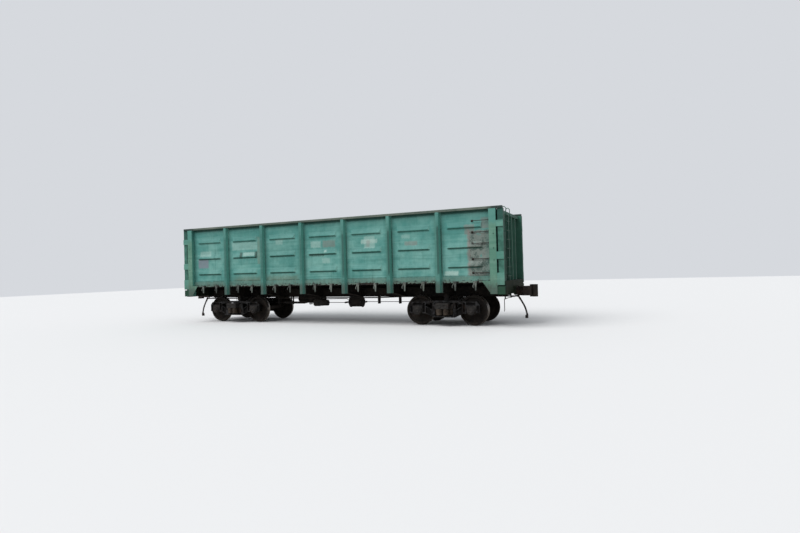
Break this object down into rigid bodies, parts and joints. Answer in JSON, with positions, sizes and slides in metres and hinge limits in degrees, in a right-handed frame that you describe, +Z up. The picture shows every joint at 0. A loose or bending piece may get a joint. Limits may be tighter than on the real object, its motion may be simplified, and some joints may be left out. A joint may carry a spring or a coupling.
{
  "type": "open gondola wagon with bottom discharge hatches",
  "caption": "Open railway gondola wagon with pressed ribs in its side walls, bottom hatches and two three-piece bogies, in worn turquoise paint.",
  "frame": {"origin": "bottom centre of the wagon, level with the lowest points of the wheel flanges", "axes": "+X along the wagon to the end on the right of the picture, +Y across it to the far side, +Z up; the rail head is at Z = 0.028 m"},
  "size_m": [14.29, 3.134, 3.7778],
  "materials": {
    "body_paint": "weathered turquoise paint",
    "chord_paint": "weathered grey-green paint",
    "end_paint": "dark green paint",
    "frame_paint": "dirty dark paint",
    "casting": "raw cast steel under road dirt",
    "steel": "dark worn steel",
    "rubber": "matt"
  },
  "bodies": {
    "wagon_body": {"centre_sill": "frame_paint", "cross_beams": "frame_paint", "bolster_beams": "frame_paint", "end_sills": "frame_paint", "side_sills": "body_paint", "side_sheets": "body_paint", "side_posts": "body_paint", "side_top_chords": "chord_paint", "corner_posts": "body_paint", "end_sheets": "end_paint", "end_frames": "end_paint", "end_brackets": "body_paint", "side_ladders": "body_paint", "end_ladders": "end_paint", "hatch_locks": "body_paint", "couplers": "casting", "uncoupling_levers": "frame_paint", "brake_pipe": "frame_paint", "brake_cylinder": "frame_paint", "air_reservoir": "frame_paint", "distributor_valve": "frame_paint", "brake_rods": "frame_paint", "hose_left": "rubber", "hose_right": "rubber", "hose_head_left": "casting", "hose_head_right": "casting"},
    "bogie_left": {"side_frames_left": "casting", "bolster_left": "casting", "friction_wedges_left": "casting", "springs_left": "steel", "axle_boxes_left": "casting", "brake_beams_left": "casting"},
    "bogie_right": {"side_frames_right": "casting", "bolster_right": "casting", "friction_wedges_right": "casting", "springs_right": "steel", "axle_boxes_right": "casting", "brake_beams_right": "casting"},
    "wheelset_1": {"axle_1": "steel", "wheels_1": "steel"},
    "wheelset_2": {"axle_2": "steel", "wheels_2": "steel"},
    "wheelset_3": {"axle_3": "steel", "wheels_3": "steel"},
    "wheelset_4": {"axle_4": "steel", "wheels_4": "steel"},
    "hatch_body_far_1": {"hatch_far_1": "frame_paint"},
    "hatch_body_near_1": {"hatch_near_1": "frame_paint"},
    "hatch_body_far_2": {"hatch_far_2": "frame_paint"},
    "hatch_body_near_2": {"hatch_near_2": "frame_paint"},
    "hatch_body_far_3": {"hatch_far_3": "frame_paint"},
    "hatch_body_near_3": {"hatch_near_3": "frame_paint"},
    "hatch_body_far_4": {"hatch_far_4": "frame_paint"},
    "hatch_body_near_4": {"hatch_near_4": "frame_paint"},
    "hatch_body_far_5": {"hatch_far_5": "frame_paint"},
    "hatch_body_near_5": {"hatch_near_5": "frame_paint"},
    "hatch_body_far_6": {"hatch_far_6": "frame_paint"},
    "hatch_body_near_6": {"hatch_near_6": "frame_paint"},
    "hatch_body_far_7": {"hatch_far_7": "frame_paint"},
    "hatch_body_near_7": {"hatch_near_7": "frame_paint"}
  },
  "joints": [
    {"name": "bogie_turn_left", "type": "hinge", "parent": "wagon_body", "child": "bogie_left", "pos_m": [-4.325, 0, 0.804], "axis": [0, 0, 1], "range_deg": [-4.1, 4.1]},
    {"name": "bogie_turn_right", "type": "hinge", "parent": "wagon_body", "child": "bogie_right", "pos_m": [4.325, 0, 0.804], "axis": [0, 0, 1], "range_deg": [-4.1, 4.1]},
    {"name": "wheelset_turn_1", "type": "hinge", "parent": "bogie_left", "child": "wheelset_1", "pos_m": [-5.25, 0, 0.5065], "axis": [0, 1, 0], "continuous": true},
    {"name": "wheelset_turn_2", "type": "hinge", "parent": "bogie_left", "child": "wheelset_2", "pos_m": [-3.4, 0, 0.5065], "axis": [0, 1, 0], "continuous": true},
    {"name": "wheelset_turn_3", "type": "hinge", "parent": "bogie_right", "child": "wheelset_3", "pos_m": [3.4, 0, 0.5065], "axis": [0, 1, 0], "continuous": true},
    {"name": "wheelset_turn_4", "type": "hinge", "parent": "bogie_right", "child": "wheelset_4", "pos_m": [5.25, 0, 0.5065], "axis": [0, 1, 0], "continuous": true},
    {"name": "hatch_hinge_far_1", "type": "hinge", "parent": "wagon_body", "child": "hatch_body_far_1", "pos_m": [-5.19, 0.215, 1.413], "axis": [-1, 0, 0], "range_deg": [0, 31]},
    {"name": "hatch_hinge_near_1", "type": "hinge", "parent": "wagon_body", "child": "hatch_body_near_1", "pos_m": [-5.19, -0.215, 1.413], "axis": [1, 0, 0], "range_deg": [0, 31]},
    {"name": "hatch_hinge_far_2", "type": "hinge", "parent": "wagon_body", "child": "hatch_body_far_2", "pos_m": [-3.46, 0.215, 1.413], "axis": [-1, 0, 0], "range_deg": [0, 31]},
    {"name": "hatch_hinge_near_2", "type": "hinge", "parent": "wagon_body", "child": "hatch_body_near_2", "pos_m": [-3.46, -0.215, 1.413], "axis": [1, 0, 0], "range_deg": [0, 31]},
    {"name": "hatch_hinge_far_3", "type": "hinge", "parent": "wagon_body", "child": "hatch_body_far_3", "pos_m": [-1.73, 0.215, 1.413], "axis": [-1, 0, 0], "range_deg": [0, 31]},
    {"name": "hatch_hinge_near_3", "type": "hinge", "parent": "wagon_body", "child": "hatch_body_near_3", "pos_m": [-1.73, -0.215, 1.413], "axis": [1, 0, 0], "range_deg": [0, 31]},
    {"name": "hatch_hinge_far_4", "type": "hinge", "parent": "wagon_body", "child": "hatch_body_far_4", "pos_m": [0, 0.215, 1.413], "axis": [-1, 0, 0], "range_deg": [0, 31]},
    {"name": "hatch_hinge_near_4", "type": "hinge", "parent": "wagon_body", "child": "hatch_body_near_4", "pos_m": [0, -0.215, 1.413], "axis": [1, 0, 0], "range_deg": [0, 31]},
    {"name": "hatch_hinge_far_5", "type": "hinge", "parent": "wagon_body", "child": "hatch_body_far_5", "pos_m": [1.73, 0.215, 1.413], "axis": [-1, 0, 0], "range_deg": [0, 31]},
    {"name": "hatch_hinge_near_5", "type": "hinge", "parent": "wagon_body", "child": "hatch_body_near_5", "pos_m": [1.73, -0.215, 1.413], "axis": [1, 0, 0], "range_deg": [0, 31]},
    {"name": "hatch_hinge_far_6", "type": "hinge", "parent": "wagon_body", "child": "hatch_body_far_6", "pos_m": [3.46, 0.215, 1.413], "axis": [-1, 0, 0], "range_deg": [0, 31]},
    {"name": "hatch_hinge_near_6", "type": "hinge", "parent": "wagon_body", "child": "hatch_body_near_6", "pos_m": [3.46, -0.215, 1.413], "axis": [1, 0, 0], "range_deg": [0, 31]},
    {"name": "hatch_hinge_far_7", "type": "hinge", "parent": "wagon_body", "child": "hatch_body_far_7", "pos_m": [5.19, 0.215, 1.413], "axis": [-1, 0, 0], "range_deg": [0, 31]},
    {"name": "hatch_hinge_near_7", "type": "hinge", "parent": "wagon_body", "child": "hatch_body_near_7", "pos_m": [5.19, -0.215, 1.413], "axis": [1, 0, 0], "range_deg": [0, 31]}
  ]
}
